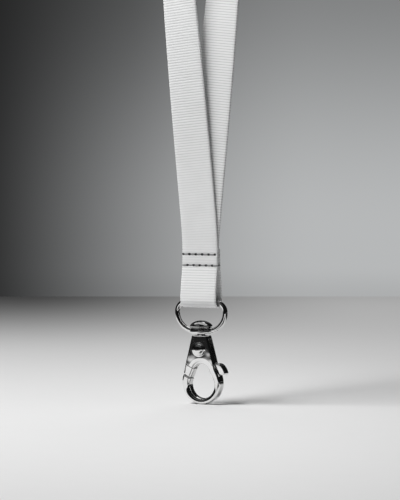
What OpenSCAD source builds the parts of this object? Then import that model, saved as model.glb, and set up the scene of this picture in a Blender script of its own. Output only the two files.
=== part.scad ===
// Lanyard with a swivel lobster hook: a ribbed webbing neck strap sewn round the bar of a
// swivel eye, and a cast hook with a sprung gate. Millimetres, +Z up, -Y front.
// Origin: inner face of the strap at the top of the neck bend, where the lanyard hangs.

/* [Webbing] */
// width of the webbing
strap_w = 20; // [15:0.5:22]
// thickness of the webbing
strap_t = 1.1; // [0.8:0.1:1.4]
// height from the top of the neck bend to the middle of the eye's bar
neck_drop = 419; // [330:1:480]
// inner radius of the neck bend
neck_r = 33; // [25:1:45]
// height of the lower row of stitches above the bar
stitch_low = 18.4; // [15:0.1:24]
// distance between the two rows of stitches
stitch_gap = 5.5; // [4:0.5:8]
// webbing left over beyond a row of stitches
tail_over = 2.6; // [2:0.1:4]

/* [Sewing] */
// diameter of the sewing thread
thread_d = 0.4; // [0.3:0.05:0.6]
// length of one stitch
stitch_len = 3.6; // [2.5:0.1:4.5]

/* [Swivel eye] */
// distance from the webbing's edge out to the eye's outer edge
eye_side = 4.65; // [4.2:0.05:6]
// diameter of the eye's wire
wire_d = 2.4; // [2:0.1:2.6]
// centreline radius of the eye's top corners
corner_r = 4.8; // [4:0.1:5.2]
// centreline radius of the eye's lower corners
low_r = 9.4; // [8.5:0.1:11]
// diameter of the boss at the foot of the eye
boss_d = 11.4; // [9.5:0.1:13]
// height of the boss
boss_h = 3.1; // [2.6:0.1:3.6]

/* [Swivel rivet] */
// diameter of the rivet's shank in the boss
shank_d = 4; // [3.4:0.1:4.6]
// diameter of the rivet's reduced end in the hook
neck_d = 3; // [2.4:0.1:3.2]
// diameter of the peened tail inside the hook
tail_d = 4; // [3.6:0.1:4.2]
// height of the domed head
dome_h = 3.2; // [2.4:0.1:3.8]

/* [Hook] */
// depth of the hook from front to back
hook_t = 5.7; // [5:0.1:7]
// width of the housing at its top
top_w = 8.2; // [7.6:0.1:9]
// height from the top of the housing to the middle of the claw's outer round
claw_drop = 23.55; // [22:0.05:26]
// outer radius of the claw
claw_r = 10.65; // [10:0.05:12]
// radius of the seat inside the claw
seat_r = 6.8; // [6:0.1:7.2]
// thickness of the claw under the seat
seat_wall = 2.8; // [2.4:0.1:3.6]
// depth from the housing's top down to the gate pivot
pivot_drop = 7; // [6.8:0.1:8]
// width of the slot between the cheeks, which the gate works in
slot_w = 2.7; // [2.4:0.1:3.2]
// diameter of the gate's pivot rivet
pin_d = 2.5; // [2:0.1:2.8]
// diameter of the pivot rivet's domed head
pin_head_d = 7.4; // [5.5:0.1:8]

/* [Gate spring] */
// outer diameter of the gate spring
spring_d = 2; // [1.7:0.1:2.1]
// diameter of the spring wire
spring_wire = 0.35; // [0.25:0.05:0.4]
// number of coils in the gate spring
spring_coils = 4.5; // [3:0.5:5]

/* [Hidden] */
$fn = 64;
chrome = [0.80, 0.81, 0.83];
white = [0.93, 0.93, 0.92];
charcoal = [0.22, 0.22, 0.23];
steel = [0.66, 0.67, 0.69];

// clearances
run_fit = 0.05;
set_fit = 0.02;
lay_gap = 0.1;
end_gap = 0.1;
side_gap = 0.15;
under_gap = 0.2;
eps = 0.01;

// swivel eye
eye_w = strap_w + 2 * eye_side;
eye_half = (eye_w - wire_d) / 2;
bar_half = eye_half - corner_r;

// webbing folded round the bar
lay = strap_t + lay_gap;
past_bar = max(0, strap_w / 2 - bar_half);
bar_gap = under_gap + corner_r - sqrt(corner_r * corner_r - past_bar * past_bar);
fold_slack = 1.55;
fold_r = wire_d / 2 + fold_slack + strap_t / 2;
fold_z = fold_r - strap_t / 2 - wire_d / 2 - bar_gap;
stitch_up = stitch_low + stitch_gap;
tail_top = stitch_up + tail_over;
rear_end = stitch_low - tail_over;

// neck strap route: sewn end, fold round the bar, front leg, neck bend, rear leg
edge_cut = 0.25;
leg_base = tail_top + 1;
ease = 6;
bow = 1.5;
bend_r = neck_r + strap_t / 2;
bend_z = -neck_r;
lean = asin(bend_r / (neck_drop - neck_r - leg_base - ease));
leg_top = bend_z - bend_r * sin(lean);
leg_rise = leg_top + neck_drop - leg_base;
leg_n = 18;
bend_n = 14;
fold_n = 8;
side_n = 5;

function mix(a, b, u) = a + (b - a) * u;
function unit(v) = v / norm(v);
function bez(a, b, c, d, u) =
    a * pow(1 - u, 3) + 3 * b * pow(1 - u, 2) * u + 3 * c * (1 - u) * u * u + d * u * u * u;
function side_y(u) = bez(lay, lay + 0.8, fold_r, fold_r, u);
function side_z(u) = bez(stitch_low, stitch_low - 6, fold_z + 6, fold_z, u);
function twist(u) = 90 * (1 - cos(180 * pow(u, 1.5))) / 2;
function leg_x(h) = tan(lean) * (h - ease * (1 - exp(-h / ease)));
function leg_y(u, y0, b) = y0 * (1 - u) + b * sin(180 * u);
function leg(s, y0, u) =
    [[s * leg_x(leg_rise * u), leg_y(u, y0, s * bow), leg_base - neck_drop + leg_rise * u],
     [cos(twist(u)), -sin(twist(u)), 0]];
function flat(y, z) = [[0, y, z - neck_drop], [1, 0, 0]];
function on_bend(a) = [[-bend_r * cos(a), 0, bend_z + bend_r * sin(a)], [0, -1, 0]];

route = concat(
    [for (z = [tail_top, stitch_up - stitch_gap / 2]) flat(lay, z)],
    [for (i = [0:side_n - 1]) flat(side_y(i / side_n), side_z(i / side_n))],
    [for (i = [0:fold_n]) flat(fold_r * cos(180 * i / fold_n), fold_z - fold_r * sin(180 * i / fold_n))],
    [for (i = [side_n - 1:-1:0]) flat(-side_y(i / side_n), side_z(i / side_n))],
    [flat(-lay, stitch_up - stitch_gap / 2), flat(-lay, tail_top - 1)],
    [for (i = [0:leg_n - 1]) leg(-1, -lay, i / leg_n)],
    [for (i = [0:bend_n]) on_bend(mix(-lean, 180 + lean, i / bend_n))],
    [for (i = [leg_n - 1:-1:0]) leg(1, 0, i / leg_n)],
    [flat(0, stitch_up), flat(0, stitch_low), flat(0, rear_end)]
);

// boss and rivet, measured down from the eye's bar
foot_z = -corner_r - low_r;
boss_rise = 0.6;
boss_top = foot_z + wire_d / 2 + boss_rise;
boss_low = boss_top - boss_h;
dome_z = boss_top + end_gap;

// hook
hook_gap = 1;
top_z = boss_low - hook_gap;
housing_x = 0.2;
top_wall = 1.8;
tail_h = 1;
pivot_z = top_z - pivot_drop;
claw_x = 1;
claw_z = top_z - claw_drop;
foot_edge = claw_z - claw_r;
seat_shift = 0.4;
seat_x = claw_x + seat_shift;
seat_z = foot_edge + seat_wall + seat_r;
arch_x = 1;
arch_r = 4.4;
arch_drop = 7.1;
arch_z = pivot_z - arch_drop - arch_r;
web_t = slot_w - 2 * side_gap;
web_back = 0.55;
hub_wall = 1.35;
hub_r = pin_d / 2 + hub_wall;
seam_r = 10;
seam_gap = 0.12;
lobe_r = 14.7;
tip_r = 15.5;
tip_round = 1.5;
left_slope = 0.25;
right_slope = 0.279;
left_wall = 1.2;
pocket_gap = 0.12;
pocket_h = 1.4;
slot_top = top_z - top_wall;
slot_over = 1.1;
slot_low = arch_z - slot_over;
left_turn = 4;
tab_step = 0.65;
tab_t = hook_t - 2 * tab_step;
shelf_drop = 2;
shelf_z = pivot_z + hub_r - shelf_drop;
spring_x = hub_r + end_gap + spring_d / 2;
spring_top = slot_top - set_fit;
spring_low = shelf_z + set_fit;

// the housing's straight sides and the slot's left wall, at a height
function left_edge(z) = housing_x - top_w / 2 - left_slope * (top_z - z);
function right_edge(z) = housing_x + top_w / 2 + right_slope * (top_z - z);
function slot_edge(z) = left_edge(z) + left_wall;

// where the thumb tab leaves the slot
tab_top = 6.9;
tab_gap = 0.8;
tab_x = right_edge(pivot_z - tab_top) + tab_gap;

module at_bar() { translate([0, 0, -neck_drop]) children(); }

// upright plate: an XZ outline with a thickness centred on Y
module plate(t) { rotate([90, 0, 0]) linear_extrude(height = t, center = true) children(); }

module neck_strap() {
    n = len(route);
    hw = strap_w / 2;
    ht = strap_t / 2;
    c = edge_cut;
    ring = [[-hw, -ht + c], [-hw + c, -ht], [hw - c, -ht], [hw, -ht + c],
            [hw, ht - c], [hw - c, ht], [-hw + c, ht], [-hw, ht - c]];
    m = len(ring);
    pts = [for (i = [0:n - 1])
        let (p = route[i][0],
             t = unit(route[min(i + 1, n - 1)][0] - route[max(i - 1, 0)][0]),
             w0 = route[i][1],
             w = unit(w0 - (w0 * t) * t),
             v = cross(w, t))
        for (q = ring) p + q[0] * w + q[1] * v];
    // both broad faces are split along the same diagonal, so that a twist keeps its thickness
    sides = [for (i = [0:n - 2]) for (j = [0:m - 1])
        let (a = i * m + j, b = i * m + (j + 1) % m)
        for (f = j < m / 2 ? [[a, b, b + m], [a, b + m, a + m]] : [[a, b, a + m], [b, b + m, a + m]]) f];
    caps = [[for (j = [m - 1:-1:0]) j], [for (j = [0:m - 1]) (n - 1) * m + j]];
    color(white) polyhedron(points = pts, faces = concat(sides, caps), convexity = 10);
}

// one side of a row of lock stitches: the runs that show, and a leg at every needle hole
module thread_side(side, z, first, last, wrap) {
    y_run = side * (lay + strap_t / 2 + thread_d / 2 - 0.1);
    y_mid = side * end_gap / 2;
    at_bar() translate([0, 0, z]) {
        translate([(first + last) / 2, y_run, 0]) rotate([0, 90, 0])
            cylinder(d = thread_d, h = last - first + thread_d, center = true, $fn = 8);
        for (x = [first:stitch_len:last + eps])
            translate([x, (y_run + y_mid) / 2, 0]) rotate([90, 0, 0])
                cylinder(d = thread_d, h = abs(y_run - y_mid), center = true, $fn = 8);
        if (wrap) translate([last, (y_run + y_mid) / 2, 0]) rotate([90, 0, 0])
            cylinder(d = thread_d, h = abs(y_run - y_mid), center = true, $fn = 8);
    }
}

hem = 0.6;
upper_first = -strap_w / 2 + hem;
upper_last = upper_first + floor((strap_w - 2 * hem) / stitch_len) * stitch_len;
wrap_x = strap_w / 2 + thread_d / 2 - 0.05;

module upper_needle_thread() { color(charcoal) thread_side(-1, stitch_up, upper_first, upper_last, false); }
module upper_bobbin_thread() { color(charcoal) thread_side(1, stitch_up, upper_first, upper_last, false); }
module lower_needle_thread() { color(charcoal) thread_side(-1, stitch_low, -wrap_x, wrap_x, true); }
module lower_bobbin_thread() { color(charcoal) thread_side(1, stitch_low, -wrap_x, wrap_x, true); }

// a length of the eye's wire along an arc in the XZ plane
module wire_arc(x, z, r, from, turn) {
    translate([x, 0, z]) rotate([90, 0, 0]) rotate([0, 0, from])
        rotate_extrude(angle = turn, $fn = 96) translate([r, 0]) circle(d = wire_d, $fn = 32);
}

module wire_bar(z, half) {
    translate([0, 0, z]) rotate([0, 90, 0]) cylinder(d = wire_d, h = 2 * half, center = true, $fn = 32);
}

module swivel_eye() {
    round_r = 1.1;
    color(chrome) at_bar() difference() {
        union() {
            wire_bar(0, bar_half);
            wire_bar(foot_z, eye_half - low_r);
            for (s = [0, 1]) mirror([s, 0, 0]) {
                wire_arc(bar_half, -corner_r, corner_r, 0, 90);
                wire_arc(eye_half - low_r, -corner_r, low_r, -90, 90);
            }
            rotate_extrude() {
                translate([0, boss_low]) square([boss_d / 2 - round_r, boss_h]);
                translate([0, boss_low + round_r]) square([boss_d / 2, boss_h - round_r]);
                translate([boss_d / 2 - round_r, boss_low + round_r]) circle(r = round_r, $fn = 32);
            }
        }
        translate([0, 0, boss_low - 1]) cylinder(d = shank_d + 2 * run_fit, h = boss_h + 2);
    }
}

module swivel_rivet() {
    head_r = boss_d / 2;
    rim = 0.5;
    cap = dome_h - rim;
    ball = (head_r * head_r + cap * cap) / (2 * cap);
    color(chrome) at_bar() rotate_extrude() {
        intersection() {
            translate([0, dome_z + dome_h - ball]) circle(r = ball, $fn = 96);
            translate([0, dome_z + rim]) square([head_r, cap + 1]);
        }
        translate([0, dome_z]) square([head_r, rim]);
        translate([0, top_z]) square([shank_d / 2, dome_z - top_z + eps]);
        translate([0, slot_top - tail_h]) square([neck_d / 2, top_wall + tail_h + eps]);
        translate([0, slot_top - tail_h]) square([tail_d / 2, tail_h]);
    }
}

// everything inside the hook's outer edge, opening included
module hook_block(t) {
    turn_z = claw_z + left_turn;
    plate(t) polygon([
        [left_edge(top_z), top_z], [right_edge(top_z), top_z],
        [right_edge(claw_z), claw_z], [left_edge(turn_z), turn_z]]);
    plate(t) translate([claw_x, claw_z]) circle(r = claw_r, $fn = 96);
}

module claw_opening() {
    hull() {
        translate([arch_x, arch_z]) circle(r = arch_r, $fn = 64);
        translate([seat_x, seat_z]) circle(r = seat_r, $fn = 96);
    }
}

module about_pivot(r) { translate([0, pivot_z]) circle(r = r, $fn = 128); }

// the side of the hook that the gate closes
module gate_side() { translate([-20 + arch_x, claw_z]) square([20, top_z - claw_z]); }

// hook with the gate's stretch left out and the point of the claw rounded
module hook_shell() {
    difference() {
        hook_block(hook_t);
        plate(hook_t + 1) claw_opening();
        plate(hook_t + 1) intersection() {
            gate_side();
            difference() { about_pivot(tip_r); about_pivot(seam_r); }
        }
        plate(hook_t + 1) tip_corner();
    }
}

// waste cut from the outer corner of the claw's point
module tip_corner() {
    x = -claw_r + claw_x + 0.1;
    z = pivot_z - tip_r + 1.5;
    difference() {
        translate([x - 1, z - tip_round]) square([tip_round + 1.6, tip_round + 3]);
        translate([x + tip_round + 0.3, z - tip_round - 0.3]) circle(r = tip_round + 0.3, $fn = 32);
        translate([x + tip_round + 0.3, z - 12]) square([10, 10]);
    }
}

// room between the cheeks for the gate's web, its arm and the spring
module slot_room() {
    low = pivot_z - seam_r;
    flare = left_wall;
    polygon([
        [slot_edge(slot_top), slot_top], [20, slot_top], [20, slot_low], [seat_x, slot_low],
        [left_edge(low) - 0.5, low], [slot_edge(low), low + flare]]);
}

module hook_body() {
    color(chrome) at_bar() difference() {
        hook_shell();
        plate(slot_w) slot_room();
        translate([0, 0, slot_top - pocket_h]) cylinder(d = tail_d + 2 * pocket_gap, h = pocket_h + eps);
        translate([0, 0, slot_top - 1]) cylinder(d = neck_d + 2 * set_fit, h = top_wall + 2);
        translate([0, 0, pivot_z]) rotate([90, 0, 0])
            cylinder(d = pin_d + 2 * set_fit, h = hook_t + 2, center = true);
    }
}

// full-depth end of the gate
module lobe() {
    intersection() {
        difference() { hook_block(hook_t); plate(hook_t + 1) claw_opening(); }
        plate(hook_t + 2) intersection() {
            gate_side();
            difference() { about_pivot(lobe_r); about_pivot(seam_r + seam_gap); }
        }
    }
}

// thin plate of the gate between the cheeks
module web_face() {
    about_pivot(hub_r);
    tab_foot = pivot_z - tab_top - 5;
    polygon(concat(
        [[-hub_r, shelf_z], [slot_edge(pivot_z - 6.4) + 0.75, pivot_z - 6.4],
         [slot_edge(pivot_z - 9.8) - 0.1, pivot_z - 9.8], [arch_x - arch_r - 1.6, arch_z + 0.7]],
        [for (a = [152, 130, 107, 85, 66, 45, 20])
            [arch_x + (arch_r + web_back) * cos(a), arch_z + (arch_r + web_back) * sin(a)]],
        [[arch_x + arch_r + 1, arch_z - 0.4], [tab_x + 2.6, tab_foot],
         [tab_x + 1.6, tab_foot + 4.3], [tab_x - 0.8, tab_foot + 5.7], [tab_x - 2.4, tab_foot + 8.3],
         [spring_x + spring_d / 2 + 0.6, shelf_z]]));
}

// thumb tab that stands out of the slot
module tab_face() {
    translate([tab_x, pivot_z - tab_top]) polygon([
        [0, 0], [1.1, 0.2], [2.2, -0.1], [3.3, -0.9], [4.2, -2.1], [4.8, -3.3], [5.2, -4.4],
        [5, -5], [4.2, -5.2], [3.2, -5.1], [2.3, -5], [1.9, -4], [1.2, -2.5]]);
}

module gate() {
    color(chrome) at_bar() difference() {
        union() {
            lobe();
            plate(web_t) web_face();
            plate(tab_t) tab_face();
        }
        translate([0, 0, pivot_z]) rotate([90, 0, 0])
            cylinder(d = pin_d + 2 * run_fit, h = hook_t, center = true);
    }
}

module pivot_rivet() {
    rim = 0.35;
    cap = 0.85;
    r = pin_head_d / 2;
    ball = (r * r + cap * cap) / (2 * cap);
    back_h = 0.7;
    color(chrome) at_bar() translate([0, 0, pivot_z]) rotate([90, 0, 0]) rotate_extrude() {
        translate([0, -hook_t / 2]) square([pin_d / 2, hook_t]);
        translate([0, hook_t / 2]) square([r, rim]);
        intersection() {
            translate([0, hook_t / 2 + rim + cap - ball]) circle(r = ball, $fn = 128);
            translate([0, hook_t / 2 + rim]) square([r, cap]);
        }
        translate([0, -hook_t / 2 - back_h]) square([r * 0.8, back_h]);
    }
}

module gate_spring() {
    per = 16;
    sides = 6;
    n = ceil(spring_coils * per);
    mean_r = (spring_d - spring_wire) / 2;
    w = spring_wire / 2;
    h = spring_top - spring_low - spring_wire;
    pts = [for (i = [0:n])
        let (a = 360 * i / per, z = spring_low + w + h * i / n)
        for (j = [0:sides - 1])
            let (b = 360 * j / sides, r = mean_r + w * cos(b))
            [spring_x + r * cos(a), r * sin(a), z + w * sin(b)]];
    walls = [for (i = [0:n - 1]) for (j = [0:sides - 1])
        let (p = i * sides + j, q = i * sides + (j + 1) % sides)
        for (f = [[p, q + sides, q], [p, p + sides, q + sides]]) f];
    caps = [[for (j = [0:sides - 1]) j], [for (j = [sides - 1:-1:0]) n * sides + j]];
    color(steel) at_bar() polyhedron(points = pts, faces = concat(walls, caps), convexity = 10);
}

neck_strap();
upper_needle_thread();
upper_bobbin_thread();
lower_needle_thread();
lower_bobbin_thread();
swivel_eye();
swivel_rivet();
hook_body();
gate();
pivot_rivet();
gate_spring();
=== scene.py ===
import math

import bmesh
import bpy
import numpy as np
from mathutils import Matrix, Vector


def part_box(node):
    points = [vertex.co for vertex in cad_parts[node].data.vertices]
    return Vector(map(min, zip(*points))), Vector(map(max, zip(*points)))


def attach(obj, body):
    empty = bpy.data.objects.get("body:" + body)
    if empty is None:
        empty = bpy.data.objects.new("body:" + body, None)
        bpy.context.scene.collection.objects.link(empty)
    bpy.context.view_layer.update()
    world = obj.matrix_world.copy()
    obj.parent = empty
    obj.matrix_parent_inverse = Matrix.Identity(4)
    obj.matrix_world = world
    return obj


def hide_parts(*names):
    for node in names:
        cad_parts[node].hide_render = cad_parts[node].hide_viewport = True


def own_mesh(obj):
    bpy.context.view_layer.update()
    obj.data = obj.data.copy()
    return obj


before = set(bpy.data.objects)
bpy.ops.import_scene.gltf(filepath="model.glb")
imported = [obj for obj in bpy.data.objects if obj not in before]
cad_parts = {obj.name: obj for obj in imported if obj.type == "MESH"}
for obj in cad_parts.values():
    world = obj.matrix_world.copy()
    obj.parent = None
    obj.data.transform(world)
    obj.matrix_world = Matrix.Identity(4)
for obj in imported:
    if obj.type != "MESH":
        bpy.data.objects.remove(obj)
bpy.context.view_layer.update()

MM = 0.001
NECK_DROP = 419.0  # from the neck to the eye's bar, in mm
BAR = np.array([0.0, 0.0, -NECK_DROP])
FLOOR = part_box("hook_body")[0][2]
VIEW_SIDE = math.radians(27.9)


# ---------------------------------------------------------------- camera
def place_camera():
    """Eye-level telephoto view from the front right, resting on the hook and the sewn end."""
    rise, distance, focus = math.radians(2.39), 1.3, Vector((-0.0007, 0.0, -0.393))
    back = Vector(
        (math.sin(VIEW_SIDE) * math.cos(rise), -math.cos(VIEW_SIDE) * math.cos(rise), math.sin(rise))
    )
    data = bpy.data.cameras.new("camera")
    data.lens = 188.1
    data.clip_start = 0.05
    camera = bpy.data.objects.new("camera", data)
    camera.location = focus + back * distance
    camera.rotation_euler = back.to_track_quat("Z", "Y").to_euler()
    bpy.context.scene.collection.objects.link(camera)
    bpy.context.scene.camera = camera


# ---------------------------------------------------------------- meshes
def add_object(name, mesh, material):
    mesh.materials.clear()
    mesh.materials.append(material)
    item = bpy.data.objects.new(name, mesh)
    bpy.context.scene.collection.objects.link(item)
    return item


def volume(points, faces):
    """Signed volume inside a closed shell, positive where its faces point outward."""
    total = 0.0
    for size in (3, 4):
        some = np.array([f for f in faces if len(f) == size])
        if len(some):
            a = points[some[:, 0]]
            for k in range(1, size - 1):
                total += (a * np.cross(points[some[:, k]], points[some[:, k + 1]])).sum() / 6
    return total


def skin(name, points, faces, normals=None):
    """A smooth closed mesh from points in mm, its faces turned outward."""
    points = np.asarray(points, float)
    faces = faces if isinstance(faces, list) else faces.tolist()
    if volume(points - points.mean(0), faces) < 0:
        faces = [f[::-1] for f in faces]
    mesh = bpy.data.meshes.new(name)
    mesh.from_pydata((points * MM).tolist(), [], faces)
    mesh.polygons.foreach_set("use_smooth", np.ones(len(mesh.polygons), bool))
    mesh.update()
    if normals is not None:
        mesh.normals_split_custom_set_from_vertices(np.asarray(normals).tolist())
    return mesh


def ring_faces(rings, around):
    """Quads between successive rings of points."""
    last = rings - 1
    i = np.repeat(np.arange(last), around)
    j = np.tile(np.arange(around), last)
    a, b = i * around + j, i * around + (j + 1) % around
    c, d = (i + 1) * around + (j + 1) % around, (i + 1) * around + j
    return np.stack([a, b, c, d], 1)


def lathe(name, profile, centre, around=96, axis="z"):
    """A closed turned shape. The profile is (radius, height) in mm and starts and ends on the axis."""
    profile = np.array(profile, float)
    turn = np.linspace(0, 2 * np.pi, around, endpoint=False)
    r, h = profile[1:-1, 0], profile[1:-1, 1]
    ring = np.stack(
        [np.outer(r, np.cos(turn)), np.outer(r, np.sin(turn)), np.repeat(h[:, None], around, 1)], 2
    ).reshape(-1, 3)
    points = np.vstack([ring, [0, 0, profile[0, 1]], [0, 0, profile[-1, 1]]])
    faces = ring_faces(len(r), around).tolist()
    first, last, top = len(ring), len(ring) + 1, (len(r) - 1) * around
    for j in range(around):
        k = (j + 1) % around
        faces += [[first, k, j], [last, top + j, top + k]]
    if axis == "y":  # heights run towards the front
        points = np.stack([points[:, 0], -points[:, 2], points[:, 1]], 1)
    return skin(name, points + centre, faces)


def rounded(corners, radius, steps=8):
    """A profile whose inner corners are replaced by arcs. radius is one number or one a corner."""
    corners = np.array(corners, float)
    radius = np.broadcast_to(radius, len(corners))
    out = [corners[0]]
    for before, here, after, r in zip(corners, corners[1:], corners[2:], radius[1:]):
        a, b = before - here, after - here
        la, lb = np.linalg.norm(a), np.linalg.norm(b)
        a, b = a / la, b / lb
        half = math.acos(np.clip(a @ b, -1, 1)) / 2
        reach = min(r / math.tan(half), la * 0.49, lb * 0.49)
        start, end = here + a * reach, here + b * reach
        for t in np.linspace(0, 1, steps + 1):
            out.append((1 - t) ** 2 * start + 2 * t * (1 - t) * here + t * t * end)
    out.append(corners[-1])
    return out


# ---------------------------------------------------------------- cast metal as distance fields
def both(a, b, r):
    """Where a and b meet, with the edge rounded to radius r."""
    return np.minimum(np.maximum(a, b), -r) + np.hypot(np.maximum(a + r, 0), np.maximum(b + r, 0))


def either(a, b, k):
    """a and b together, with a fillet of about k where they join."""
    h = np.clip(0.5 + 0.5 * (b - a) / k, 0, 1)
    return b * (1 - h) + a * h - k * h * (1 - h)


def ramp(x, low, high):
    t = np.clip((x - low) / (high - low), 0, 1)
    return t * t * (3 - 2 * t)


def capsule(x, z, ax, az, ra, bx, bz, rb):
    """Distance to the outline round two circles."""
    h = math.hypot(bx - ax, bz - az)
    ex, ez = (bx - ax) / h, (bz - az) / h
    along = (x - ax) * ex + (z - az) * ez
    off = np.abs(-(x - ax) * ez + (z - az) * ex)
    s = (ra - rb) / h
    c = math.sqrt(1 - s * s)
    k = c * along - s * off
    return np.where(
        k < 0,
        np.hypot(off, along) - ra,
        np.where(k > c * h, np.hypot(off, along - h) - rb, c * off + s * along - ra),
    )


def polygon(x, z, corners):
    """Signed distance to a closed outline."""
    corners = np.array(corners, float)
    best = np.full(x.shape, 1e9)
    sign = np.ones(x.shape)
    for a, b in zip(corners, np.roll(corners, -1, 0)):
        ex, ez = b - a
        wx, wz = x - a[0], z - a[1]
        t = np.clip((wx * ex + wz * ez) / (ex * ex + ez * ez), 0, 1)
        best = np.minimum(best, (wx - ex * t) ** 2 + (wz - ez * t) ** 2)
        up, down = wz >= 0, z < b[1]
        turn = ex * wz > ez * wx
        sign = np.where((up & down & turn) | (~up & ~down & ~turn), -sign, sign)
    return sign * np.sqrt(best)


def cast(name, field, low, high, step):
    """The closed skin of the shape where field(x, y, z) is below 0, in mm round the bar."""
    axes = [np.arange(a, b + step, step) for a, b in zip(low, high)]
    grid = np.meshgrid(*axes, indexing="ij")
    value = field(*grid)
    inside = value < 0
    size = value.shape
    cells = tuple(n - 1 for n in size)
    total, moment = np.zeros(cells), np.zeros(cells + (3,))
    corner = [(i, j, k) for i in (0, 1) for j in (0, 1) for k in (0, 1)]

    def at(array, c):
        return array[tuple(slice(o, o + n) for o, n in zip(c, cells))]

    for a in corner:
        for axis in range(3):
            if a[axis]:
                continue
            b = tuple(1 if d == axis else o for d, o in enumerate(a))
            va, vb = at(value, a), at(value, b)
            cut = at(inside, a) != at(inside, b)
            t = np.where(cut, va / np.where(cut, va - vb, 1), 0)
            total += cut
            for d in range(3):
                moment[..., d] += cut * (a[d] + (t if d == axis else 0))
    used = total > 0
    index = np.full(cells, -1)
    index[used] = np.arange(used.sum())
    base = np.stack(np.nonzero(used), 1)
    points = (base + moment[used] / total[used][:, None]) * step + np.array(low, float)
    quads = []
    for axis in range(3):
        u, v = (axis + 1) % 3, (axis + 2) % 3
        lo = [slice(1, n - 1) for n in size]
        lo[axis] = slice(0, size[axis] - 1)
        hi = list(lo)
        hi[axis] = slice(1, size[axis])
        first, second = inside[tuple(lo)], inside[tuple(hi)]
        for flip in (False, True):
            where = np.stack(np.nonzero((second & ~first) if flip else (first & ~second)), 1)
            if not len(where):
                continue
            where = where + np.array([s.start for s in lo])
            ring = []
            for du, dv in ((-1, -1), (0, -1), (0, 0), (-1, 0)):
                cell = where.copy()
                cell[:, u] += du
                cell[:, v] += dv
                ring.append(index[tuple(cell.T)])
            quads.append(np.stack(ring[::-1] if flip else ring, 1))
    quads = np.vstack(quads)

    def slope(p, h=0.01):
        g = np.empty_like(p)
        for d in range(3):
            o = np.zeros(3)
            o[d] = h
            g[:, d] = (field(*(p + o).T) - field(*(p - o).T)) / (2 * h)
        return g

    for _ in range(4):
        g = slope(points)
        move = field(*points.T)[:, None] * g / np.maximum((g * g).sum(1), 0.2)[:, None]
        length = np.linalg.norm(move, axis=1, keepdims=True)
        points = points - move * np.minimum(1, 0.5 * step / np.maximum(length, 1e-9))
    normals = slope(points)
    normals /= np.maximum(np.linalg.norm(normals, axis=1, keepdims=True), 1e-9)
    return skin(name, points + BAR, quads, normals)


# sizes of the hook and the eye, in mm from the middle of the eye's bar
TOP, PIVOT, CLAW, LEFT_SLOPE, RIGHT_SLOPE = -16.5, -23.5, (1.0, -40.05, 10.65), 0.25, 0.279
ARCH, SEAT = (1.0, -35.0, 4.4), (1.4, -41.1, 6.8)
EYE_HALF, BAR_HALF, CORNER, LOW, FOOT, WIRE = 13.45, 8.65, 4.8, 9.4, -14.2, 1.2
BOSS_TOP, BOSS_LOW, BOSS_R = -12.4, -15.5, 5.7
HALF_DEPTH, HALF_SLOT, HALF_WEB, HALF_TAB = 2.85, 1.35, 1.2, 2.2
SEAM, SEAM_GAP, LOBE, TIP = 10.0, 0.12, 14.7, 15.5  # radii round the pivot, and the upper seam's gap
SEAM_EDGE, LOBE_EDGE, EDGE_CHANGE = 0.07, 0.2, 12.3
LEFT_TOP, RIGHT_TOP = -3.9, 4.3
SLOT_LEFT, SLOT_TOP, SLOT_LOW = -2.7, -18.3, -36.1
NECK_HOLE_R, BORE_R, HUB_R, PIN_HOLE_R = 1.55, 2.05, 2.6, 1.3


def hook_outline(x, z):
    left = (LEFT_TOP - LEFT_SLOPE * (TOP - z) - x) / math.hypot(1, LEFT_SLOPE)
    right = (x - RIGHT_TOP - RIGHT_SLOPE * (TOP - z)) / math.hypot(1, RIGHT_SLOPE)
    low = ((x - 10.87) * -4.0 + (z + 40.05) * -19.66) / 20.06
    housing = np.maximum(both(np.maximum(left, right), z - TOP, 0.5), low)
    return either(housing, np.hypot(x - CLAW[0], z - CLAW[1]) - CLAW[2], 0.5)


def claw_opening(x, z):
    return capsule(x, z, *ARCH, *SEAT)


def cast_block(x, y, z):
    """The outside of the hook and gate together, with its faces rolled down to the claw's opening."""
    opening = claw_opening(x, z)
    roll = 0.5 * (1 - np.clip(opening / 3.0, 0, 1)) ** 2
    claw = ramp(-z, 30, 38)
    face = np.abs(y) - HALF_DEPTH + roll
    solid = both(hook_outline(x, z), face, 0.55 + 0.75 * claw)
    return both(solid, -opening, 0.75 + 0.45 * claw)


def hook_field(x, y, z):
    away = np.hypot(x, z - PIVOT)
    solid = cast_block(x, y, z)
    span = np.maximum(np.maximum(SEAM - away, away - TIP), x - ARCH[0])
    span = np.maximum(span, z - PIVOT)
    solid = both(solid, -span, np.where(away < EDGE_CHANGE, SEAM_EDGE, LOBE_EDGE))
    slot_left = SLOT_LEFT - LEFT_SLOPE * (TOP - z)
    room = np.maximum(np.maximum(slot_left - x, z - SLOT_TOP), SLOT_LOW - z)
    slot = np.maximum(room, np.abs(y) - HALF_SLOT)
    solid = both(solid, -slot, 0.18)
    neck = np.maximum(np.hypot(x, y) - NECK_HOLE_R, np.abs(z + 17.2) - 2.0)
    return np.maximum(solid, -neck)


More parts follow.
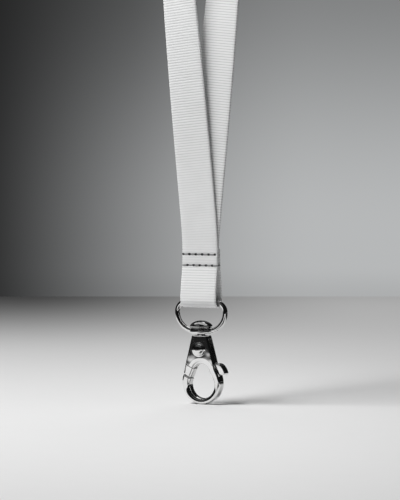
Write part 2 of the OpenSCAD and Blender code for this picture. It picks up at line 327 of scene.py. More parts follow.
def gate_field(x, y, z):
    away = np.hypot(x, z - PIVOT)
    span = np.maximum(np.maximum(SEAM + SEAM_GAP - away, away - LOBE), x - ARCH[0])
    lobe = both(cast_block(x, y, z), span, np.where(away < EDGE_CHANGE, SEAM_EDGE, LOBE_EDGE))
    arch = [
        (ARCH[0] + 4.95 * math.cos(a), ARCH[1] + 4.95 * math.sin(a))
        for a in np.radians([152, 130, 107, 85, 66, 45, 20])
    ]
    outline = [(-2.6, -22.9), (-5.3, -29.9), (-7.0, -33.3), (-5.0, -34.3)] + arch
    outline += [(6.4, -35.4), (11.6, -35.4), (10.6, -31.1), (8.2, -29.7), (6.6, -27.1), (5.3, -22.9)]
    web = np.minimum(polygon(x, z, outline), away - HUB_R)
    web = both(web, np.abs(y) - HALF_WEB, 0.15)
    tab = polygon(
        x,
        z,
        [
            (9.0, -30.4), (10.1, -30.2), (11.2, -30.5), (12.3, -31.3), (13.2, -32.5), (13.8, -33.7),
            (14.2, -34.8), (14.0, -35.4), (13.2, -35.6), (12.2, -35.5), (11.3, -35.4), (10.9, -34.4),
            (10.2, -32.9),
        ],
    ) - 0.12
    tab = both(tab, np.abs(y) - HALF_TAB, 0.45)
    solid = either(np.minimum(lobe, web), tab, 0.25)
    return np.maximum(solid, PIN_HOLE_R - away)


def eye_field(x, y, z):
    wide = np.abs(x)
    bar = np.where(wide <= BAR_HALF, np.abs(z), 1e3)
    corner = np.abs(np.hypot(wide - BAR_HALF, z + CORNER) - CORNER)
    top = np.where((wide > BAR_HALF) & (z >= -CORNER), corner, 1e3)
    side = EYE_HALF - LOW
    sweep = np.abs(np.hypot(wide - side, z + CORNER) - LOW)
    low = np.where((wide > side) & (z < -CORNER), sweep, 1e3)
    foot = np.where(wide <= side, np.abs(z - FOOT), 1e3)
    path = np.minimum(np.minimum(bar, top), np.minimum(low, foot))
    wire = np.hypot(path, y) - WIRE
    radius = np.hypot(x, y)
    mid = (BOSS_TOP + BOSS_LOW) / 2
    boss = both(radius - BOSS_R, np.abs(z - mid) - (BOSS_TOP - BOSS_LOW) / 2, 1.0)
    solid = either(wire, boss, 0.9)
    return both(solid, BORE_R - radius, 0.12)


# ---------------------------------------------------------------- webbing
STRAP_W, STRAP_T, RIB = 20.0, 1.1, 1.3
LAY, FOLD_R, FOLD_Z, STITCH_LOW, STITCH_UP = 1.2, 3.3, 1.144, 18.4, 23.9
TAIL_TOP, REAR_END, LEG_BASE, BEND_R, BEND_Z, EASE, BOW = 26.5, 15.8, 27.5, 33.55, -33.0, 6.0, 1.5
LEAN = math.asin(BEND_R / (NECK_DROP - 33 - LEG_BASE - EASE))
LEG_TOP = BEND_Z - BEND_R * math.sin(LEAN)
LEG_RISE = LEG_TOP + NECK_DROP - LEG_BASE


def curve4(a, b, c, d, u):
    return a * (1 - u) ** 3 + 3 * b * (1 - u) ** 2 * u + 3 * c * (1 - u) * u * u + d * u**3


def strap_route():
    """Points along the middle of the webbing in mm, each with the direction across it."""
    points, across = [], []

    def flat(y, z):
        points.append((0, y, z - NECK_DROP))
        across.append((1, 0, 0))

    def fold_side(u, way):
        y = curve4(LAY, LAY + 0.8, FOLD_R, FOLD_R, u)
        flat(way * y, curve4(STITCH_LOW, STITCH_LOW - 6, FOLD_Z + 6, FOLD_Z, u))

    def leg(side, y0, u):
        h = LEG_RISE * u
        x = math.tan(LEAN) * (h - EASE * (1 - math.exp(-h / EASE)))
        points.append((side * x, y0 * (1 - u) + side * BOW * math.sin(math.pi * u), LEG_BASE - NECK_DROP + h))
        turn = math.radians(90 * (1 - math.cos(math.pi * u**1.5)) / 2)
        across.append((math.cos(turn), -math.sin(turn), 0))

    for z in np.linspace(TAIL_TOP, STITCH_LOW, 12)[:-1]:
        flat(LAY, z)
    for u in np.linspace(0, 1, 60)[:-1]:
        fold_side(u, 1)
    for a in np.linspace(0, math.pi, 60)[:-1]:
        flat(FOLD_R * math.cos(a), FOLD_Z - FOLD_R * math.sin(a))
    for u in np.linspace(1, 0, 60)[:-1]:
        fold_side(u, -1)
    front = len(points)
    for z in np.linspace(STITCH_LOW, TAIL_TOP - 1, 12):
        flat(-LAY, z)
    for u in np.linspace(0, 1, 400)[:-1]:
        leg(-1, -LAY, u)
    for a in np.linspace(-LEAN, math.pi + LEAN, 120)[:-1]:
        points.append((-BEND_R * math.cos(a), 0, BEND_Z + BEND_R * math.sin(a)))
        across.append((0, -1, 0))
    for u in np.linspace(1, 0, 400):
        leg(1, 0, u)
    for z in np.linspace(STITCH_UP + 2, REAR_END, 12):
        flat(0, z)
    return np.array(points, float), np.array(across, float), front


def spaced(points, across, step):
    """The route again with points an even distance apart, and the distance to each."""
    gone = np.concatenate([[0], np.cumsum(np.linalg.norm(np.diff(points, axis=0), axis=1))])
    count = int(round(gone[-1] / step))
    s = np.linspace(0, gone[-1], count + 1)
    p = np.stack([np.interp(s, gone, points[:, d]) for d in range(3)], 1)
    w = np.stack([np.interp(s, gone, across[:, d]) for d in range(3)], 1)
    return p, w, s, gone


def strap_section():
    """Half section (across, thickness) of the webbing going round from the front left edge."""
    flat = [-9.3, -7.2, -4.3, -1.4, 1.4, 4.3, 7.2, 9.3]
    edge = [math.radians(a) for a in (-50, 0, 50)]
    right = [(9.5 + 0.5 * math.cos(a), 0.5 * math.sin(a) / math.sin(math.radians(60)) * 0.9) for a in edge]
    ring = [(a, -0.55) for a in flat] + right
    ring += [(a, 0.55) for a in reversed(flat)] + [(-a, -b) for a, b in right]
    return np.array(ring)


def make_strap():
    route, across, front = strap_route()
    points, w, s, gone = spaced(route, across, RIB / 5)
    t = np.gradient(points, axis=0)
    t /= np.linalg.norm(t, axis=1, keepdims=True)
    w = w - (w * t).sum(1, keepdims=True) * t
    w /= np.linalg.norm(w, axis=1, keepdims=True)
    out = np.cross(w, t)
    rng = np.random.default_rng(4)
    ridge = np.abs(np.sin(np.pi * s / RIB)) ** 0.8
    uneven = 1 + 0.25 * np.interp(s, np.arange(0, 910, RIB), rng.uniform(-1, 1, 700))
    rows = [TAIL_TOP - STITCH_UP, TAIL_TOP - STITCH_LOW]
    rows += [gone[front], gone[front] + STITCH_UP - STITCH_LOW]
    pull = sum(np.exp(-(((s - r) / 0.55) ** 2)) for r in rows)
    ring = strap_section()
    n = len(ring)
    flattened = ramp(s, rows[2] - 2.5, rows[2]) * ramp(-s, -rows[2] - 75, -rows[2] - 28)
    below = np.abs(s - (rows[1] + rows[2]) / 2)
    looped = ramp(-below, -22.8, -20) * (0.35 + 0.45 * ramp(-below, -12, -8))
    sink = (0.11 - 0.075 * np.maximum(flattened, looped)) * (1 - ridge) * uneven + 0.2 * pull
    side = 1 - 0.012 * (1 - ridge) * uneven
    thin = np.where(np.abs(ring[:, 1]) > 0.5, np.sign(ring[:, 1]), 0)
    bead = 1 + 0.09 * (np.abs(ring[:, 0]) > 9.2) * (np.abs(ring[:, 0]) < 9.6)
    a = ring[None, :, 0] * side[:, None]
    b = ring[None, :, 1] * bead[None, :] - thin[None, :] * sink[:, None]
    shell = points[:, None] + a[..., None] * w[:, None] + b[..., None] * out[:, None]
    faces = ring_faces(len(points), n).tolist()
    shell = shell.reshape(-1, 3)
    ends = np.vstack([points[0], points[-1]])
    first, last, base = len(shell), len(shell) + 1, (len(points) - 1) * n
    for j in range(n):
        k = (j + 1) % n
        faces += [[first, k, j], [last, base + j, base + k]]
    mesh = skin("webbing", np.vstack([shell, ends]), faces)
    weave = mesh.uv_layers.new(name="weave")
    u = np.concatenate([np.tile(ring[:, 0], len(points)), [0, 0]])
    v = np.concatenate([np.repeat(s, n), [s[0], s[-1]]])
    corner = np.empty(len(mesh.loops), int)
    mesh.loops.foreach_get("vertex_index", corner)
    weave.data.foreach_set("uv", np.stack([u[corner], v[corner]], 1).astype(np.float32).ravel())
    item = add_object("webbing", mesh, webbing_material(gone[front]))
    path = np.vstack([route[:front - 1:-1], [[0, -LAY, -NECK_DROP + z] for z in (14, 9, 4, 0)]]) * MM
    gaps = np.concatenate([[0], np.cumsum(np.linalg.norm(np.diff(path, axis=0), axis=1))])
    even = np.linspace(0, gaps[-1], 160)
    path = np.stack([np.interp(even, gaps, path[:, d]) for d in range(3)], 1)
    return item, path


# ---------------------------------------------------------------- shader arithmetic
class Value:
    """A number inside a material, which adds, multiplies and compares like one."""

    def __init__(self, paint, socket):
        self.paint, self.socket = paint, socket

    def op(self, kind, *values, swap=False):
        terms = (self,) + values
        return self.paint.math(kind, *(terms[::-1] if swap else terms))

    def __add__(self, other):
        return self.op("ADD", other)

    __radd__ = __add__

    def __sub__(self, other):
        return self.op("SUBTRACT", other)

    def __rsub__(self, other):
        return self.op("SUBTRACT", other, swap=True)

    def __mul__(self, other):
        return self.op("MULTIPLY", other)

    __rmul__ = __mul__

    def __truediv__(self, other):
        return self.op("DIVIDE", other)

    def __pow__(self, other):
        return self.op("POWER", other)

    def least(self, other):
        return self.op("MINIMUM", other)

    def most(self, other):
        return self.op("MAXIMUM", other)

    def size(self):
        return self.op("ABSOLUTE")

    def sine(self):
        return self.op("SINE")

    def floor(self):
        return self.op("FLOOR")

    def wrap(self, low, high):
        return self.op("WRAP", high, low)

    def ramp(self, low, high):
        """0 at low and 1 at high, smoothly."""
        node = self.paint.node(
            "ShaderNodeMapRange",
            {"interpolation_type": "SMOOTHSTEP"},
            {"Value": self, "From Min": low, "From Max": high, "To Min": 0.0, "To Max": 1.0},
        )
        return Value(self.paint, node.outputs["Result"])


class Paint:
    """Makes the nodes of one material or world."""

    def __init__(self, tree):
        self.tree = tree
        tree.nodes.clear()

    def node(self, kind, settings=None, inputs=None):
        made = self.tree.nodes.new(kind)
        for key, value in (settings or {}).items():
            setattr(made, key, value)
        for key, value in (inputs or {}).items():
            socket = made.inputs[key]
            if isinstance(value, Value):
                value = value.socket
            if isinstance(value, bpy.types.NodeSocket):
                self.tree.links.new(value, socket)
            else:
                socket.default_value = value
        return made

    def math(self, kind, *values):
        made = self.node("ShaderNodeMath", {"operation": kind}, dict(enumerate(values)))
        return Value(self, made.outputs[0])

    def place(self):
        """Position in the piece's own coordinates, in metres."""
        return self.node("ShaderNodeTexCoord").outputs["Object"]

    def parts(self, vector):
        made = self.node("ShaderNodeSeparateXYZ", None, {"Vector": vector})
        return [Value(self, o) for o in made.outputs]

    def noise(self, vector, scale, detail=3.0, rough=0.5):
        inputs = {"Vector": vector, "Scale": scale, "Detail": detail, "Roughness": rough}
        made = self.node("ShaderNodeTexNoise", None, inputs)
        return Value(self, made.outputs[0])

    def stretched(self, vector, scale):
        made = self.node("ShaderNodeVectorMath", {"operation": "MULTIPLY"}, {0: vector, 1: scale})
        return made.outputs[0]

    def blend(self, amount, first, second):
        """A colour part of the way from first to second."""
        made = self.node("ShaderNodeMix", {"data_type": "RGBA"}, {0: amount, 6: first, 7: second})
        return made.outputs[2]

    def bump(self, height, depth, strength=1.0):
        made = self.node("ShaderNodeBump", None, {"Height": height, "Distance": depth, "Strength": strength})
        return made.outputs["Normal"]

    def finish(self, fixed=None, **varying):
        inputs = {key.replace("_", " "): value for key, value in varying.items()}
        inputs.update(fixed or {})
        shader = self.node("ShaderNodeBsdfPrincipled", None, inputs)
        self.node("ShaderNodeOutputMaterial", None, {"Surface": shader.outputs[0]})


def new_material(name):
    material = bpy.data.materials.new(name)
    material.use_nodes = True
    return material, Paint(material.node_tree)


def grey(value, warm=0.0):
    return (value * (1 + warm), value, value * (1 - warm), 1.0)


# ---------------------------------------------------------------- materials
THREAD_R = 0.19
# each row's first needle hole, stitch length and number of stitches
UPPER, LOWER = (-9.4, 3.6, 5), (-6.95, 3.5, 4)


def webbing_material(front):
    """White ribbed polyester: cross ribs of fine upright yarns, with puckers at the needle holes. Its colour
    holds painted shade in the rib grooves, along the stitch rows and in the needle holes, and painted light
    on the loop.
    """
    material, p = new_material("webbing_white")
    uv = p.node("ShaderNodeUVMap", {"uv_map": "weave"}).outputs[0]
    across, along, _ = p.parts(uv)
    ridge = (along * (math.pi / RIB)).sine().size()
    row = (along / RIB).floor()
    yarn = ((across / 0.62 + row * 0.5) * math.pi).sine().size()
    place = p.place()
    fuzz = p.noise(place, 2600.0, 2.0)
    cloudy = p.noise(place, 90.0, 3.0)
    uneven = p.noise(p.stretched(place, (400.0, 400.0, 900.0)), 1.0, 2.0)
    rows = [
        (TAIL_TOP - STITCH_UP, UPPER),
        (TAIL_TOP - STITCH_LOW, LOWER),
        (front, LOWER),
        (front + STITCH_UP - STITCH_LOW, UPPER),
    ]
    hole, tuck_shade = None, None
    for at, (first, stitch, runs) in rows:
        off = along - at
        aside = (across - first).wrap(-stitch / 2, stitch / 2) * 0.75
        near = ((off * 1.15) ** 2.0 + aside**2.0) ** 0.5
        from_middle = (across - (first + stitch * runs / 2)).size()
        inside = from_middle.ramp(stitch * (runs + 0.4) / 2, stitch * (runs + 0.2) / 2)
        spot = near.ramp(0.76, 0.60) * inside
        line = off.size().ramp(0.75, 0.1)
        hole = spot if hole is None else hole.most(spot)
        tuck_shade = line if tuck_shade is None else tuck_shade.most(line)
    wear = (cloudy.ramp(0.35, 0.75)) * 0.5
    start = TAIL_TOP - STITCH_LOW
    loop = along.ramp(start, start + 3) * along.ramp(front, front - 3)
    flattened = along.ramp(front - 3, front) * along.ramp(front + 75, front + 28)
    below = (along - (front + start) / 2).size()
    calm = flattened.most(loop * (0.35 + below.ramp(12.0, 8.0) * 0.45))
    white = p.blend(wear, (0.85, 0.855, 0.855, 1), (0.79, 0.795, 0.795, 1))
    # Painted light: the loop round the eye's bar is painted lighter than the rest of the webbing.
    white = p.blend(loop * 0.8, white, (0.93, 0.935, 0.935, 1))
    # Painted shade: the rib grooves and the gaps between yarns are painted darker, less so where the webbing
    # lies calm.
    groove_shade = (1.0 - ridge).ramp(0.3, 0.95) * (0.68 - calm * 0.48) + (1.0 - yarn).ramp(0.5, 1.0) * 0.14
    shade = p.blend(groove_shade, white, (0.46, 0.465, 0.465, 1))
    # Painted shade: a darker band along each stitch row, where the sewing pulls the webbing in.
    shade = p.blend(tuck_shade * 0.22, shade, (0.45, 0.45, 0.45, 1))
    # Painted shade: the needle holes are painted near black, as the dark of the recess round the thread.
    colour = p.blend(hole * 0.98, shade, (0.012, 0.012, 0.013, 1))
    height = yarn * 0.5 + fuzz * 0.5 + uneven * 0.4 - hole * 2.2
    p.finish(
        {"Specular IOR Level": 0.2, "Sheen Weight": 0.04, "Sheen Roughness": 0.5},
        Base_Color=colour,
        Roughness=0.78 + cloudy * 0.16,
        Normal=p.bump(height, 0.00009),
    )
    return material


def thread_material():
    """Twisted grey sewing thread, with painted shade where it dives into a needle hole: the ends of each
    stitch are painted dark.
    """
    material, p = new_material("sewing_thread")
    along = Value(p, p.node("ShaderNodeAttribute", {"attribute_name": "along"}).outputs["Fac"])
    place = p.place()
    fuzz = p.noise(place, 5200.0, 2.0)
    twist = (along * 42.0).sine().size()
    ends = (along - 0.5).size().ramp(0.25, 0.33)
    thread = p.blend(fuzz * 0.5 + twist * 0.3, (0.16, 0.16, 0.165, 1), (0.40, 0.40, 0.41, 1))
    # Painted shade: both ends of each stitch are painted near black where the thread dives into the webbing.
    colour = p.blend(ends * 0.96, thread, (0.012, 0.012, 0.013, 1))
    p.finish(
        {"Specular IOR Level": 0.3},
        Base_Color=colour,
        Roughness=0.62 + fuzz * 0.25,
        Normal=p.bump(twist + fuzz * 0.5, 0.00004),
    )
    return material


def chrome_material(name, tone=0.86, polish=0.05, wave=0.6):
    """Bright nickel plate over a cast or turned blank: hairline scratches, haze and faint ripples."""
    material, p = new_material(name)
    place = p.place()
    haze = p.noise(place, 160.0, 4.0)
    speck = p.noise(place, 3000.0, 2.0)
    ripple = p.noise(place, 300.0, 0.0)
    worn = p.noise(place, 900.0, 3.0)
    long_way = p.noise(p.stretched(place, (240.0, 900.0, 5200.0)), 1.0, 2.0)
    cross_way = p.noise(p.stretched(place, (4200.0, 700.0, 380.0)), 1.0, 2.0)
    scratch = long_way.ramp(0.70, 0.78).most(cross_way.ramp(0.72, 0.80))
    pit = speck.ramp(0.74, 0.80)
    plate = p.blend(haze.ramp(0.3, 0.8), grey(tone), grey(tone * 0.93, 0.008))
    colour = p.blend(pit * 0.25 + scratch * 0.04, plate, grey(0.42))
    p.finish(
        None,
        Base_Color=colour,
        Metallic=1.0 - pit * 0.2,
        Roughness=(
            polish + haze.ramp(0.4, 0.9) * 0.05 + scratch * 0.05 + worn.ramp(0.6, 0.9) * 0.06
        ).most(0.03),
        Normal=p.bump(ripple * wave - scratch * 0.003 - pit * 0.03, 0.00006),
    )
    return material


def spring_material():
    """Drawn spring wire: darker steel with fine lines along the coil."""
    material, p = new_material("spring_wire")
    place = p.place()
    line = p.noise(p.stretched(place, (900.0, 900.0, 9000.0)), 1.0, 3.0)
    haze = p.noise(place, 500.0, 3.0)
    p.finish(
        {"Metallic": 1.0},
        Base_Color=p.blend(haze, grey(0.50, 0.02), grey(0.34, 0.03)),
        Roughness=0.22 + line * 0.2,
        Normal=p.bump(line, 0.00002),
    )
    return material


# ---------------------------------------------------------------- sewing thread
def stitch_tree():
    """Geometry nodes for one side of a row of lock stitches."""
    tree = bpy.data.node_groups.new("stitch_row", "GeometryNodeTree")
    face = tree.interface
    for name, kind in (
        ("Stitches", "NodeSocketInt"),
        ("Pitch", "NodeSocketFloat"),
        ("Height", "NodeSocketFloat"),
        ("Thread", "NodeSocketFloat"),
        ("Seed", "NodeSocketInt"),
        ("Material", "NodeSocketMaterial"),
    ):
        face.new_socket(name, in_out="INPUT", socket_type=kind)
    face.new_socket("Geometry", in_out="OUTPUT", socket_type="NodeSocketGeometry")

    def node(kind, settings=None, inputs=None):
        made = tree.nodes.new(kind)
        for key, value in (settings or {}).items():
            setattr(made, key, value)
        for key, value in (inputs or {}).items():
            if isinstance(value, bpy.types.NodeSocket):
                tree.links.new(value, made.inputs[key])
            else:
                made.inputs[key].default_value = value
        return made

    given = node("NodeGroupInput").outputs
    step = node("ShaderNodeCombineXYZ", None, {"X": given["Pitch"]}).outputs[0]
    line = node("GeometryNodeMeshLine", None, {"Count": given["Stitches"], "Offset": step}).outputs[0]

    def scaled(x, height):
        wide = node("ShaderNodeMath", {"operation": "MULTIPLY"}, {0: given["Pitch"], 1: x}).outputs[0]
        tall = node("ShaderNodeMath", {"operation": "MULTIPLY"}, {0: given["Height"], 1: height}).outputs[0]
        return node("ShaderNodeCombineXYZ", None, {"X": wide, "Y": tall}).outputs[0]

    arc = node(
        "GeometryNodeCurvePrimitiveBezierSegment",
        None,
        {"Resolution": 14, "Start": scaled(0.02, -1.7), "Start Handle": scaled(0.05, 1.6),
         "End Handle": scaled(0.95, 1.6), "End": scaled(0.98, -1.7)},
    ).outputs[0]
    along = node("GeometryNodeSplineParameter").outputs["Factor"]
    marked = node(
        "GeometryNodeStoreNamedAttribute",
        {"data_type": "FLOAT", "domain": "POINT"},
        {"Geometry": arc, "Name": "along", "Value": along},
    ).outputs[0]
    profile = node(
        "GeometryNodeCurvePrimitiveCircle", None, {"Resolution": 10, "Radius": given["Thread"]}
    ).outputs[0]
    thread = node(
        "GeometryNodeCurveToMesh",
        None,
        {"Curve": marked, "Profile Curve": profile, "Fill Caps": True},
    ).outputs[0]
    turn = node(
        "FunctionNodeRandomValue",
        {"data_type": "FLOAT_VECTOR"},
        {0: (0.0, -0.05, -0.07), 1: (0.0, 0.05, 0.07), "Seed": given["Seed"]},
    ).outputs[0]
    stretch = node(
        "FunctionNodeRandomValue",
        {"data_type": "FLOAT_VECTOR"},
        {0: (0.97, 0.85, 0.9), 1: (1.0, 1.12, 1.1), "Seed": given["Seed"]},
    ).outputs[0]
    copies = node(
        "GeometryNodeInstanceOnPoints",
        None,
        {"Points": line, "Instance": thread, "Rotation": turn, "Scale": stretch},
    ).outputs[0]
    real = node("GeometryNodeRealizeInstances", None, {"Geometry": copies}).outputs[0]
    painted = node(
        "GeometryNodeSetMaterial", None, {"Geometry": real, "Material": given["Material"]}
    ).outputs[0]
    node("NodeGroupOutput", None, {"Geometry": painted})
    return tree


def make_thread(name, tree, material, side, height, row, seed, edges):
    """One thread of a row, on the front (side -1) or back (side 1) of the sewn layers."""
    first, stitch, runs = row
    holder = bpy.data.objects.new(name + "_tool", bpy.data.meshes.new(name + "_tool"))
    bpy.context.scene.collection.objects.link(holder)
    modifier = holder.modifiers.new("stitches", "NODES")
    modifier.node_group = tree
    wanted = {
        "Stitches": runs, "Pitch": stitch * MM, "Height": 0.2 * MM, "Thread": THREAD_R * MM,
        "Seed": seed, "Material": material,
    }
    for socket in tree.interface.items_tree:
        if socket.in_out == "INPUT":
            modifier[socket.identifier] = wanted[socket.name]
    bpy.context.view_layer.update()
    graph = bpy.context.evaluated_depsgraph_get()
    mesh = bpy.data.meshes.new_from_object(holder.evaluated_get(graph))
    bpy.data.objects.remove(holder)
    mesh.name = name
    skin_y = LAY + STRAP_T / 2 - 0.02
    count = len(mesh.vertices)
    flat = np.empty(count * 3)
    mesh.vertices.foreach_get("co", flat)
    p = flat.reshape(-1, 3) / MM
    p = np.stack([first + p[:, 0], side * (skin_y + p[:, 1]), height + p[:, 2] * side], 1)
    mesh.vertices.foreach_set("co", ((p + BAR) * MM).ravel())
    mesh.polygons.foreach_set("use_smooth", np.ones(len(mesh.polygons), bool))
    mesh.polygons.foreach_set("material_index", np.zeros(len(mesh.polygons), np.int32))
    mesh.update()
    item = add_object(name, mesh, material)
    if edges:
        add_edge_wraps(item, side, height, first, stitch * runs)
    return item


def tube(route, radius, around=10):
    """Points and quads of a closed round tube along a route in mm."""
    route = np.array(route, float)
    t = np.gradient(route, axis=0)
    t /= np.linalg.norm(t, axis=1, keepdims=True)
    up = np.array([0, 0, 1.0]) if abs(t[0][2]) < 0.9 else np.array([1.0, 0, 0])
    a = np.cross(t, up)
    a /= np.linalg.norm(a, axis=1, keepdims=True)
    b = np.cross(t, a)
    turn = np.linspace(0, 2 * np.pi, around, endpoint=False)
    ring = route[:, None] + radius * (
        np.cos(turn)[None, :, None] * a[:, None] + np.sin(turn)[None, :, None] * b[:, None]
    )
    points = ring.reshape(-1, 3)
    faces = ring_faces(len(route), around).tolist()
    points = np.vstack([points, route[0], route[-1]])
    first, last, base = len(points) - 2, len(points) - 1, (len(route) - 1) * around
    for j in range(around):
        k = (j + 1) % around
        faces += [[first, k, j], [last, base + j, base + k]]
    return points, faces


def add_edge_wraps(item, side, height, first, length):
    """Joins on the two runs that go from the outer holes round the edges of the webbing."""
    body = bmesh.new()
    body.from_mesh(item.data)
    layer = body.verts.layers.float.get("along")
    y0 = LAY + STRAP_T / 2
    for x0, way in ((first, -1), (first + length, 1)):
        reach = 10.12 - abs(x0)
        route = []
        for u in np.linspace(0, 1, 26):
            over = float(ramp(u, 0.68, 1.02))
            x = x0 + way * reach * min(1.0, u / 0.86)
            y = side * ((y0 + 0.16 * math.sin(math.pi * min(u / 0.8, 1))) * (1 - over) + 0.02 * over)
            if u < 0.08:
                y = side * (y0 - 0.3 + 0.3 * u / 0.08)
            route.append((x, y, height))
        points, faces = tube(route, THREAD_R)
        made = [body.verts.new(((p + BAR) * MM).tolist()) for p in points]
        if layer is not None:
            for i, v in enumerate(made[:-2]):
                v[layer] = 0.08 + 0.84 * (i // 10) / 25
            made[-2][layer], made[-1][layer] = 0.08, 0.92
        for f in faces:
            face = body.faces.new([made[i] for i in f])
            face.smooth = True
    bmesh.ops.recalc_face_normals(body, faces=body.faces)
    body.to_mesh(item.data)
    body.free()


# ---------------------------------------------------------------- turned and wound pieces
def make_spring(material):
    """The gate spring, wound round its own axis between the housing's roof and the gate's shelf."""
    top, low, coils, radius, wire = -18.34, -22.86, 4.5, 0.825, 0.175
    turn = np.linspace(0, coils * 2 * np.pi, int(coils * 40))
    closed = 0.16  # share of the rise that is eased, which draws the end coils closer
    f = np.linspace(0, 1, len(turn))
    eased = (0.5 - 0.5 * np.cos(np.pi * f)) * closed + f * (1 - closed)
    rise = low + wire + (top - low - 2 * wire) * eased
    route = np.stack([3.7 + radius * np.cos(turn), radius * np.sin(turn), rise], 1)
    points, faces = tube(route, wire, 12)
    mesh = skin("gate_spring_wire", points + BAR, faces)
    return add_object("gate_spring_wire", mesh, material)


def make_metal():
    cast_chrome = chrome_material("chrome_cast", 0.88, 0.045, 0.6)
    wire_chrome = chrome_material("chrome_eye", 0.88, 0.035, 0.25)
    turned_chrome = chrome_material("chrome_turned", 0.86, 0.04, 0.35)
    step = 0.18

    def keep(name, mesh, material, body, node):
        item = add_object(name, mesh, material)
        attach(item, body)
        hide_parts(node)

    mesh = cast("hook_casting", hook_field, (-11, -3.4, -51.3), (13, 3.4, -15.9), step)
    keep("hook_casting", mesh, cast_chrome, "hook", "hook_body")
    mesh = cast("gate_lever", gate_field, (-10, -3.4, -39.4), (15, 3.4, -20.2), step)
    keep("gate_lever", mesh, cast_chrome, "gate", "gate")
    mesh = cast("swivel_eye_casting", eye_field, (-15.3, -6.3, -16.1), (15.3, 6.3, 1.8), step)
    keep("swivel_eye_casting", mesh, wire_chrome, "eye", "swivel_eye")
    head_r, curve_r, head_top, head_rise = 5.65, 5.95, -9.1, 2.6
    full_drop = 1 - math.sqrt(1 - (head_r / curve_r) ** 2)
    dome = []
    for a in np.linspace(0, 1, 30):
        r = head_r * math.sin(a * math.pi / 2)
        drop = 1 - math.sqrt(max(0, 1 - (r / curve_r) ** 2))
        dome.append((r, head_top - head_rise * drop / full_drop))
    profile = dome + rounded([(5.65, -11.72), (5.68, -12.0), (5.4, -12.3), (2.0, -12.3)], 0.25, 6)
    shank = [(2.0, -12.3), (2.0, -16.5), (1.5, -16.5), (1.5, -18.3), (2.0, -18.3), (2.0, -19.3)]
    profile += rounded(shank + [(0, -19.3)], [0, 0.1, 0.1, 0.1, 0.1, 0.3, 0], 5)
    profile[0] = (0, head_top)
    keep("rivet_swivel", lathe("rivet_swivel", profile, BAR), turned_chrome, "hook", "swivel_rivet")
    head = [(0, 4.05), (1.5, 3.98), (2.6, 3.62), (2.9, 3.2)]
    flange = [(3.0, 3.18), (3.66, 2.97), (3.7, 2.86), (1.25, 2.85)]
    front = rounded(head + flange, [0, 1.4, 0.7, 0.1, 0.06, 0.05, 0.03, 0], 6)
    peened = [(1.25, 2.85), (1.25, -2.85), (2.96, -2.86), (2.96, -3.3), (1.6, -3.5), (0, -3.54)]
    back = rounded(peened, [0, 0.02, 0.05, 0.25, 0.5, 0], 6)
    mesh = lathe("rivet_pivot", front + back[1:], BAR + np.array([0, 0, PIVOT]), 96, "y")
    keep("rivet_pivot", mesh, turned_chrome, "hook", "pivot_rivet")
    spring = make_spring(spring_material())
    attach(spring, "hook")
    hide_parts("gate_spring")
    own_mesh(spring)


# ---------------------------------------------------------------- floor, room and lights
def make_floor():
    """A pale matt board that ends behind the object. Its colour holds painted light: it is painted lighter to
    the right and darker further behind and away from the object, it glows to the right and behind, and a
    painted reflection makes it darker in reflections except near the object.
    """
    material, p = new_material("floor_board")
    place = p.place()
    x, y, _ = p.parts(place)
    s, c = math.sin(VIEW_SIDE), math.cos(VIEW_SIDE)
    behind = y * c - x * s
    right = x * c + y * s
    grain = p.noise(place, 70.0, 3.0)
    fine = p.noise(place, 1500.0, 2.0)
    rays = p.node("ShaderNodeLightPath").outputs
    mirrored = Value(p, rays["Is Glossy Ray"])
    radius = (behind.least(0.0) ** 2.0 + right**2.0) ** 0.5
    # Painted reflection: in the chrome the board is painted dark outside a patch near the object, and in a
    # narrow strip in front of it.
    outside = right.ramp(-0.165, -0.255).most(right.ramp(0.05, 0.12)).most(behind.ramp(-0.34, -0.42))
    dark_reflection_strip = right.size().ramp(0.055, 0.03) * behind.ramp(-0.02, -0.05) * behind.ramp(-0.28, -0.23)
    outside = outside.most(dark_reflection_strip * 0.95)
    dim = p.blend(right.ramp(0.2, 0.3), grey(0.004), grey(0.08))
    # Painted light: the board is painted lighter to the right, and painted darker further behind and further
    # from the object, as light that falls off.
    tone = p.blend(right.ramp(-0.12, 0.06), grey(0.77), grey(0.87))
    tone = p.blend(behind.ramp(0.3, 1.0), tone, grey(0.17))
    tone = p.blend(radius.ramp(0.45, 1.1) * 0.8, tone, grey(0.2))
    # Painted reflection: glossy rays see the board painted dark there.
    tone = p.blend(outside * mirrored, tone, dim)
    tone = p.blend(grain * 0.04, tone, grey(0.5))
    # Painted light: the board itself glows, more to the right and further behind.
    glow = p.blend(right.ramp(-0.16, 0.14), grey(0.0), grey(0.33))
    glow = p.blend(behind.ramp(0.25, 0.85), grey(0.0), glow)
    p.finish(
        {"Specular IOR Level": 0.0, "Emission Strength": 1.0},
        Base_Color=tone,
        Emission_Color=glow,
        Roughness=0.72 + grain * 0.15,
        Normal=p.bump(fine, 0.00003),
    )
    mesh = bpy.data.meshes.new("floor")
    cut, ahead_edge, back_edge, side_edge, clear = 24, -2.5, 0.9, 3, 0.00005
    grid = []
    for v in np.linspace(ahead_edge, back_edge, cut):
        for u in np.linspace(-side_edge, side_edge, cut):
            grid.append((u * c - v * s, u * s + v * c, FLOOR - clear))
    faces = [
        (j * cut + i, j * cut + i + 1, (j + 1) * cut + i + 1, (j + 1) * cut + i)
        for j in range(cut - 1)
        for i in range(cut - 1)
    ]
    mesh.from_pydata(grid, [], faces)
    mesh.update()
    floor = add_object("floor", mesh, material)


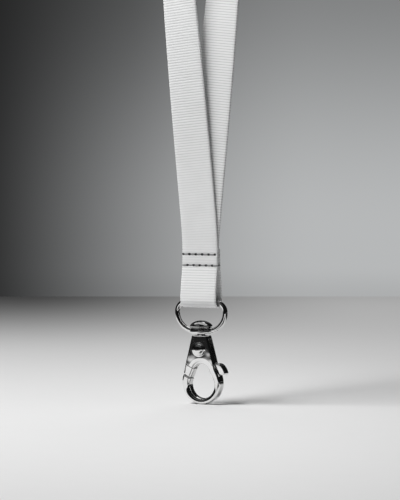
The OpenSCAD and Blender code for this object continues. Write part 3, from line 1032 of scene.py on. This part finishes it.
def make_room():
    """A dark studio: a soft grey glow on the far wall, and a dim wall seen only in reflections."""
    world = bpy.data.worlds.new("studio")
    bpy.context.scene.world = world
    world.use_nodes = True
    p = Paint(world.node_tree)
    look = p.node("ShaderNodeTexCoord").outputs["Generated"]
    x, y, z = p.parts(look)
    s, c = math.sin(VIEW_SIDE), math.cos(VIEW_SIDE)
    right = x * c + y * s
    ahead = y * c - x * s
    level = (right * ahead.ramp(0.0, 0.3)).ramp(-0.096, 0.047)
    fade = right.ramp(0.5, 0.12)
    lift = (0.42 + z.ramp(0.072, -0.035) * 0.58) * (1.0 - z.ramp(-0.047, -0.060) * 0.12)
    corner = 1.0 - z.ramp(-0.03, 0.07) * right.ramp(0.015, -0.03) * 0.34
    glow = level * fade * lift * corner * 0.47 * ahead.ramp(0.6, 0.9)
    rays = p.node("ShaderNodeLightPath").outputs
    seen, mirrored = Value(p, rays["Is Camera Ray"]), Value(p, rays["Is Glossy Ray"])
    wall = right.ramp(-0.12, -0.4) * z.ramp(0.2, 0.5) * ahead.ramp(0.2, -0.1) * 0.08
    strength = glow * (0.45 + seen * 0.55) + 0.006 + seen * 0.008 + wall * mirrored
    shader = p.node("ShaderNodeBackground", None, {"Color": (0.97, 0.99, 1.0, 1), "Strength": strength})
    p.node("ShaderNodeOutputWorld", None, {"Surface": shader.outputs[0]})


def soft_box(name, azimuth, rise, distance, wide, tall, power, mirrored=True, aim=(0, 0, -0.41)):
    """A rectangular studio light at that bearing from the hook, mirrored in the chrome or not."""
    a, e = math.radians(azimuth), math.radians(rise)
    back = Vector((math.sin(a) * math.cos(e), -math.cos(a) * math.cos(e), math.sin(e)))
    data = bpy.data.lights.new(name, "AREA")
    data.shape = "RECTANGLE"
    data.size, data.size_y, data.energy = wide, tall, power
    lamp = bpy.data.objects.new(name, data)
    lamp.visible_glossy = mirrored
    lamp.location = Vector(aim) + back * distance
    lamp.rotation_euler = back.to_track_quat("Z", "Y").to_euler()
    bpy.context.scene.collection.objects.link(lamp)


def make_lights():
    soft_box("key", -38, 58, 0.8, 0.5, 0.24, 7.0, mirrored=False)
    soft_box("top", -145, 64, 1.0, 0.6, 0.4, 1.6)


# ---------------------------------------------------------------- the scene
bpy.context.scene.view_settings.view_transform = "Standard"
place_camera()
make_floor()
make_room()
make_lights()

thread = thread_material()
strap, path = make_strap()
tree = stitch_tree()
rows = [
    ("upper_needle_stitches", "upper_needle_thread", -1, STITCH_UP, UPPER, 11, False),
    ("upper_bobbin_stitches", "upper_bobbin_thread", 1, STITCH_UP, UPPER, 12, False),
    ("lower_needle_stitches", "lower_needle_thread", -1, STITCH_LOW, LOWER, 13, True),
    ("lower_bobbin_stitches", "lower_bobbin_thread", 1, STITCH_LOW, LOWER, 14, True),
]
for name, node, side, height, row, seed, edges in rows:
    item = make_thread(name, tree, thread, side, height, row, seed, edges)
    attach(item, "strap")
    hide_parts(node)
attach(strap, "strap")
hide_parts("neck_strap")
make_metal()
